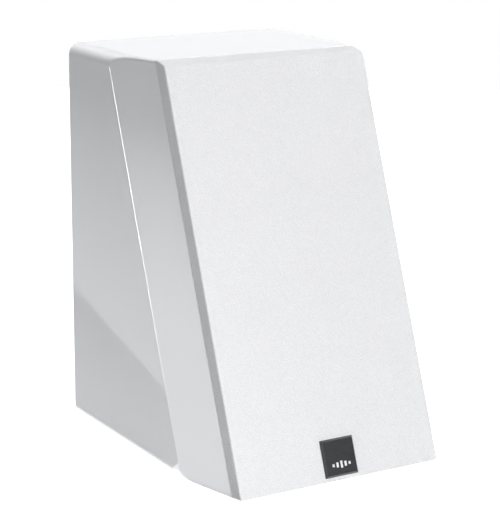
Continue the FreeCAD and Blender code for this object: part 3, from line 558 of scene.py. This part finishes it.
def cloth_steps(front, frame_back):
    """The cloth's section from its hem to the front: inset, distance out, corner radius, and the length of
    cloth from there to the edge of the front."""
    turn = math.pi / 2 * EDGE_R
    side = front - EDGE_R - frame_back
    hem_out = frame_back - CLOTH
    steps = []
    for share in (1.0, 0.7, 0.4):
        steps.append((HEM * share, hem_out, CORNER_R * (1 - share) + 0.05 * MM, turn + side + HEM * share))
    for k in range(5):
        angle = math.pi / 2 * (1 - k / 4)
        inset = BACK_R * (1 - math.cos(angle))
        steps.append((inset, hem_out + BACK_R * (1 - math.sin(angle)), CORNER_R, turn + side + inset))
    for share in (0.2, 0.4, 0.6, 0.8, 1.0):
        steps.append((0.0, frame_back + side * share, CORNER_R, turn + side * (1 - share)))
    for k in range(1, 7):
        angle = math.pi / 2 * k / 6
        inset = EDGE_R * (1 - math.cos(angle))
        steps.append((inset, front - EDGE_R * (1 - math.sin(angle)), CORNER_R, turn * (1 - k / 6)))
    return steps, turn + side + HEM


def cloth_face(builder, flat, corners):
    """A face from (vertex, place on the flat cloth) pairs."""
    made = builder.faces.new([vertex for vertex, _ in corners])
    for loop, (_, place) in zip(made.loops, corners):
        loop[flat].uv = place


def grille_cloth(materials):
    """One cloth over the grille's front, round its four sides and turned in behind the frame."""
    half = reach("grille_fabric", ACROSS)[1]
    (back, back_low, back_high), (front, front_low, front_high) = cloth_levels()
    steps, over = cloth_steps(front, reach("grille_frame", OUT)[0])
    builder = bmesh.new()
    flat = builder.loops.layers.uv.new("flat_cloth")
    edge = rounded_loop(half, front_low, front_high, CORNER_R, EDGE_R)
    rings = []
    for inset, out, radius, beyond in steps:
        share = (out - back) / (front - back)
        low = back_low + (front_low - back_low) * share
        high = back_high + (front_high - back_high) * share
        ring = []
        for ((x, y), _), ((ex, ey), way) in zip(rounded_loop(half, low, high, radius, inset), edge):
            place = (ex + way[0] * beyond, ey + way[1] * beyond)
            ring.append((builder.verts.new(at(x, y, out)), place))
        rings.append(ring)
    count = len(edge)
    for near, far in zip(rings, rings[1:]):
        for k in range(count):
            cloth_face(builder, flat, [near[k], near[(k + 1) % count], far[(k + 1) % count], far[k]])
    fill_front(builder, flat, rings[-1], half, front, front_low, front_high)
    cloth = piece("grille_cloth", builder, "grille", "white_cloth", materials)
    thickness = cloth.modifiers.new("thickness", "SOLIDIFY")
    thickness.thickness = CLOTH
    thickness.offset = -1.0
    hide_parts("grille_fabric")
    return cloth


def fill_front(builder, flat, ring, half, front, low, high):
    """The cloth's front face: a grid inside the last ring, very slightly uneven."""
    across_steps, up_steps = SIDE_STEPS
    inset = EDGE_R + CORNER_R
    rows = []
    for j in range(up_steps + 1):
        row = []
        for i in range(across_steps + 1):
            x = (half - inset) * (2 * i / across_steps - 1)
            y = low + inset + (high - low - 2 * inset) * j / up_steps
            inner = min(i, j, across_steps - i, up_steps - j) > 1
            lift = SWELL * noise.noise(Vector((x, y, 0.0)) / PATCH) if inner else 0.0
            row.append((builder.verts.new(at(x, y, front + lift)), (x, y)))
        rows.append(row)
    for lower, upper in zip(rows, rows[1:]):
        for i in range(across_steps):
            cloth_face(builder, flat, [lower[i], lower[i + 1], upper[i + 1], upper[i]])
    right, left = [row[-1] for row in rows], [row[0] for row in rows][::-1]
    sides = [right, rows[-1][::-1], left, rows[0]]
    start = 0
    for k, side in enumerate(sides):
        for i in range(CORNER_STEPS):
            cloth_face(builder, flat, [ring[start + i], ring[start + i + 1], side[0]])
        start += CORNER_STEPS
        for i in range(len(side) - 1):
            far = ring[(start + i + 1) % len(ring)]
            cloth_face(builder, flat, [ring[start + i], far, side[i + 1], side[i]])
        start += len(side) - 1


def crown_across(share):
    """Fullness of a pad at a place from -1 to 1 across it, falling off near the edges."""
    return (1 - abs(share) ** 5) ** 0.35


def wadding_pad(name, low, high, seed, materials):
    """A soft pad in its CAD block: crowned faces, soft edges, tufted surface."""
    rng = random.Random(seed)
    shift = Vector([rng.uniform(0, 50) for _ in range(3)])
    centre = (low + high) / 2
    half = (high - low) / 2
    builder = bmesh.new()
    bmesh.ops.create_cube(builder, size=2.0)
    bmesh.ops.subdivide_edges(builder, edges=builder.edges, cuts=PAD_CUTS, use_grid_fill=True)
    for vertex in builder.verts:
        x, y, z = vertex.co
        crown = crown_across(y) * crown_across(z)
        thick = x * (PAD_EDGE + PAD_SWELL * crown)
        place = Vector((thick * half.x, y * PAD_SHRINK * half.y, z * PAD_SHRINK * half.z))
        tuft = noise.noise(place / TUFT_WIDE + shift) + 0.5 * noise.noise(place / TUFT_FINE - shift)
        vertex.co = centre + place * (1 + 0.5 * TUFT / half.x * tuft * min(1.0, crown + 0.2) * 0.25)
        vertex.co.x += TUFT * 0.4 * tuft * x * crown
        vertex.co.x = min(max(vertex.co.x, low.x), high.x)
    pad = piece(name, builder, "root", "wadding", materials)
    smooth = pad.modifiers.new("soft", "SUBSURF")
    smooth.levels = smooth.render_levels = 1
    return pad


def wadding_pads(materials):
    """The two pads that damp the side walls, in place of the plain CAD blocks."""
    low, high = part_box("cabinet_wadding")
    inner = min(abs(v.co.x) for v in NODES["cabinet_wadding"].data.vertices)
    left = wadding_pad("wadding_left", low, Vector((-inner, high.y, high.z)), 3, materials)
    wadding_pad("wadding_right", Vector((inner, low.y, low.z)), high, 8, materials)
    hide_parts("cabinet_wadding")


def arc(start, end, rise, count):
    """Points of a sine arch from one (radius, out) point to another, the last left out."""
    points = []
    for k in range(count):
        share = k / count
        lift = rise * math.sin(math.pi * share)
        radius, out = (a + (b - a) * share for a, b in zip(start, end))
        points.append((radius, out + lift))
    return points


def roll_profile(inner, outer, lip, rise, thick, tuck=0.0):
    """Section of a half-roll surround: a lip on the cone, the roll, and a lip on the basket."""
    (inner_r, inner_out), (outer_r, outer_out) = inner, outer
    under = [(inner_r - lip, inner_out - tuck)] + arc(inner, outer, rise, ROLL_STEPS) + [outer]
    under += [(outer_r + lip, outer_out)]
    top_outer, top_inner = (outer_r, outer_out + thick), (inner_r, inner_out + thick)
    over = [(outer_r + lip, outer_out + thick)] + arc(top_outer, top_inner, rise, ROLL_STEPS) + [top_inner]
    over += [(inner_r - lip, inner_out + thick - tuck)]
    return under + over


def pleated_profile(radii, lip, pleats, depth, thick, level):
    """Section of a spider: sine pleats between a collar on the former and a flat rim on the basket."""
    inner_r, outer_r = radii
    count = pleats * ROLL_STEPS
    wave = []
    for k in range(count + 1):
        share = k / count
        fade = min(1.0, 6 * share, 6 * (1 - share))
        lift = level + depth * fade * math.sin(2 * math.pi * pleats * share)
        wave.append((inner_r + (outer_r - inner_r) * share, lift))
    under = [(inner_r - lip, level)] + wave + [(outer_r + 2 * lip, level)]
    return under + [(r, out + thick) for r, out in reversed(under)]


def ring_sector(profile, centre_up, turn, span):
    """Part of a ring with that closed section, as a mesh in the part's frame."""
    face = reach("front_baffle", OUT)[1]
    builder = bmesh.new()
    rows = []
    for k in range(SECTOR_STEPS + 1):
        angle = turn + span * k / SECTOR_STEPS
        rows.append([
            builder.verts.new(at(r * math.cos(angle), centre_up + r * math.sin(angle), face + out))
            for r, out in profile
        ])
    count = len(profile)
    for near, far in zip(rows, rows[1:]):
        for k in range(count):
            builder.faces.new([near[k], near[(k + 1) % count], far[(k + 1) % count], far[k]])
    mesh = bpy.data.meshes.new("sector")
    builder.to_mesh(mesh)
    builder.free()
    return mesh


def flexing_ring(node, name, profile, centre_up, slot, materials):
    """A driver's suspension ring between its inner and outer radius, built sector by sector round the axis and
    then joined into one mesh.
    """
    sectors = []
    span = 2 * math.pi / SECTORS
    for k in range(SECTORS):
        sector = bpy.data.objects.new(name, ring_sector(profile, centre_up, k * span, span))
        bpy.context.scene.collection.objects.link(sector)
        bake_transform(sector)
        sectors.append(sector)
    ring = sectors[0]
    with bpy.context.temp_override(active_object=ring, object=ring, selected_objects=sectors,
                                   selected_editable_objects=sectors):
        bpy.ops.object.join()
    builder = bmesh.new()
    builder.from_mesh(ring.data)
    bmesh.ops.remove_doubles(builder, verts=builder.verts, dist=0.5 * WELD)
    bmesh.ops.recalc_face_normals(builder, faces=builder.faces)
    builder.to_mesh(ring.data)
    builder.free()
    ring.data.shade_smooth()
    ring.data.materials.append(materials[slot])
    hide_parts(node)
    return ring


def surround_profile(edges, rim_r, roll):
    """A surround's section, whose outer lip runs on to the rim."""
    section = roll_profile(*edges, **roll)
    lip_r = max(r for r, _ in section)
    return [(rim_r if r == lip_r else r, out) for r, out in section]


def suspensions(materials):
    """The surrounds and the spider: soft rings between the fixed and moving parts of each driver."""
    woofer = middle("woofer_basket", UP)
    tweeter = middle("tweeter_faceplate", UP)
    roll = surround_profile(WOOFER_EDGES, WOOFER_RIM_R, WOOFER_ROLL)
    flexing_ring("woofer_surround", "woofer_roll", roll,
                 woofer, "soft_rubber", materials)
    flexing_ring("woofer_spider", "woofer_pleats", pleated_profile(SPIDER_RADII, **SPIDER),
                 woofer, "spider_cloth", materials)
    roll = surround_profile(TWEETER_EDGES, TWEETER_RIM_R, TWEETER_ROLL)
    flexing_ring("tweeter_surround", "tweeter_roll", roll,
                 tweeter, "soft_rubber", materials)


def raised_bar(builder, centre, long_x, long_z, rise):
    """A small moulded bar on the recess's floor, with softened edges."""
    made = bmesh.ops.create_cube(builder, size=1.0)["verts"]
    for vertex in made:
        vertex.co = centre + Vector((vertex.co.x * long_x, vertex.co.y * rise, vertex.co.z * long_z))
    edges = list({e for v in made for e in v.link_edges})
    bmesh.ops.bevel(builder, geom=edges, offset=MARK_EDGE, segments=2, affect="EDGES")


def polarity_marks(materials):
    """A plus over the red post and a minus over the black one, moulded in the recess."""
    floor = reach("red_post_collar", Vector((0, 1, 0)))[0]
    builder = bmesh.new()
    for node, cross in (("red_post_collar", True), ("black_post_collar", False)):
        centre = Vector((middle(node, ACROSS), floor + MARK_THICK / 2 - MARK_SINK,
                         middle(node, Vector((0, 0, 1))) + MARK_ABOVE))
        raised_bar(builder, centre, MARK_LONG, MARK_WIDE, MARK_THICK)
        if cross:
            raised_bar(builder, centre, MARK_WIDE, MARK_LONG, MARK_THICK)
    return piece("polarity_marks", builder, "root", "white_plastic", materials, smooth=False)


# ---------------------------------------------------------------- studio
def soft_light(name, centre, aim, size, power, colour, in_gloss):
    """A soft light that the camera never sees."""
    data = bpy.data.lights.new(name, "AREA")
    data.shape = "RECTANGLE"
    data.size, data.size_y = size
    data.energy = power
    data.color = colour
    lamp = bpy.data.objects.new(name, data)
    bpy.context.scene.collection.objects.link(lamp)
    lamp.location = centre
    lamp.rotation_mode = "QUATERNION"
    lamp.rotation_quaternion = (Vector(aim) - Vector(centre)).to_track_quat("-Z", "Y")
    lamp.visible_camera = False
    lamp.visible_glossy = in_gloss


def card(name, corners, glow, far_glow=None, way=(1, 0, 0), span=(0.0, 1.0)):
    """A flat glowing card that only the gloss sees. Its glow may change to another along a way."""
    mesh = bpy.data.meshes.new(name)
    mesh.from_pydata([tuple(corner) for corner in corners], [], [range(len(corners))])
    colour = COOL if name.startswith("floor") else WHITE
    s = Surface(name, base_color=(0, 0, 0, 1), emission_color=(*colour, 1), emission_strength=glow)
    if far_glow is not None:
        s.tree.links.new(s.ramp(s.along(way), glow, far_glow, *span), s.shader.inputs["Emission Strength"])
    mesh.materials.append(s.material)
    made = bpy.data.objects.new(name, mesh)
    bpy.context.scene.collection.objects.link(made)
    made.visible_camera = False
    made.visible_diffuse = False
    made.visible_shadow = False
    made.visible_transmission = False


def toward(start, compass, distance):
    """The place at a distance from start, by compass angle."""
    angle = math.radians(compass)
    return start + distance * Vector((-math.sin(angle), math.cos(angle)))


def on_back_wall(left, right):
    """Corners of a part of the wall behind."""
    return [(x, BACK_WALL, z) for x, z in ((left, 0), (right, 0), (right, CEILING), (left, CEILING))]


def on_floor(layer, *places):
    """Corners just over the floor; a card on a higher layer covers those below."""
    return [(x, y, layer * 0.1 * MM) for x, y in places]


def floor_cards():
    """The floor as the gloss mirrors it: dim beside the speaker, brighter behind and to the left."""
    card("floor_near", on_floor(1, (-FAR, -0.15), (FAR, -0.15), (FAR, FAR), (-FAR, FAR)),
         2.2, 1.5, (-1, 0, 0), (0.10, 0.22))
    edge = (EDGE_START - 0.4 * EDGE_WAY, EDGE_START + 12 * EDGE_WAY)
    card("floor_behind", on_floor(2, *edge, (-2.2, FAR), toward(CREASE_FOOT, 45.0, 0.15)),
         1.3, 3.15, (1, 0, 0), (-0.66, -0.04))
    card("floor_left", on_floor(3, (CREASE_FOOT.x, -0.5), (-FAR, -0.5), (-FAR, 2.6), CREASE_FOOT),
         4.8, 1.1, (*toward(Vector((0, 0)), FACET_WAY, 1.0), 0), (0.6, 3.5))
    near = [toward(CREASE_FOOT, compass, 0.08) for compass in CREASE_WAYS]
    far = [toward(CREASE_FOOT, compass, FAR) for compass in CREASE_WAYS]
    card("crease_strip", on_floor(4, near[0], far[0], far[1], near[1]), 6.0, 20.0, (0, 1, 0), (0.03, 0.6))


def wall_cards():
    """The white behind, above and to the left, brightest in the middle of the back."""
    left, middle_x, right = -1.6, -0.4, 2.4
    card("back", on_back_wall(middle_x, right), 1.08, 3.0, (-1, 0, 0), (-0.6, 0.2))
    card("back_left", on_back_wall(left, middle_x), 3.0, 0.6, (-1, 0, 0), (0.4, 1.2))
    front = -BACK_WALL
    card("above", [(left, front, CEILING), (right, front, CEILING), (right, BACK_WALL, CEILING),
                   (left, BACK_WALL, CEILING)], 3.0)
    card("left", [(-FAR, -2.0, 0), (-FAR, FAR, 0), (-FAR, FAR, 1.0), (-FAR, -2.0, 1.0)], 1.6)


def floor():
    """A round pale table top, overexposed to the camera."""
    builder = bmesh.new()
    bmesh.ops.create_circle(builder, cap_ends=True, radius=FLOOR_R, segments=128)
    mesh = bpy.data.meshes.new("floor")
    builder.to_mesh(mesh)
    builder.free()
    table = bpy.data.objects.new("floor", mesh)
    bpy.context.scene.collection.objects.link(table)
    table.location.z = -FLOOR_DROP
    table.visible_glossy = False
    s = Surface("floor")
    s.shader.inputs["Emission Color"].default_value = (1, 1, 1, 1)
    s.colour(s.grain(300 * MM), (0.415, 0.415, 0.42), (0.43, 0.43, 0.43))
    s.roughness(s.grain(60 * MM), 0.6, 0.7)
    seen = s.node("LightPath", output="Is Camera Ray")
    s.tree.links.new(seen, s.shader.inputs["Emission Strength"])
    mesh.materials.append(s.material)


def studio():
    """White surroundings, soft lights, and cards for the gloss to mirror."""
    world = bpy.data.worlds.new("studio")
    bpy.context.scene.world = world
    world.use_nodes = True
    tree = world.node_tree
    path = tree.nodes.new("ShaderNodeLightPath")
    tree.links.new(path.outputs["Is Camera Ray"], tree.nodes["Background"].inputs["Strength"])
    tree.nodes["Background"].inputs["Color"].default_value = (1, 1, 1, 1)
    for light in LIGHTS:
        soft_light(*light)
    floor_cards()
    wall_cards()
    floor()
    bpy.context.scene.view_settings.view_transform = "Standard"


def aim_camera():
    azimuth, elevation = math.radians(CAMERA_AZIMUTH), math.radians(CAMERA_ELEVATION)
    level = Vector((math.sin(azimuth), -math.cos(azimuth), 0))
    back = level * math.cos(elevation) + Vector((0, 0, math.sin(elevation)))
    data = bpy.data.cameras.new("camera")
    data.lens = CAMERA_LENS
    data.sensor_width = 36.0
    data.clip_start, data.clip_end = 0.05, 20.0
    camera = bpy.data.objects.new("camera", data)
    bpy.context.scene.collection.objects.link(camera)
    camera.location = CAMERA_PLACE
    camera.rotation_mode = "QUATERNION"
    roll = Quaternion(back, math.radians(CAMERA_ROLL))
    camera.rotation_quaternion = roll @ (-back).to_track_quat("-Z", "Y")
    bpy.context.scene.camera = camera


def build():
    materials = {slot: maker().material for slot, maker in MAKERS.items()}
    dress_nodes(materials)
    grille_cloth(materials)
    wadding_pads(materials)
    suspensions(materials)
    polarity_marks(materials)
    studio()
    aim_camera()


build()
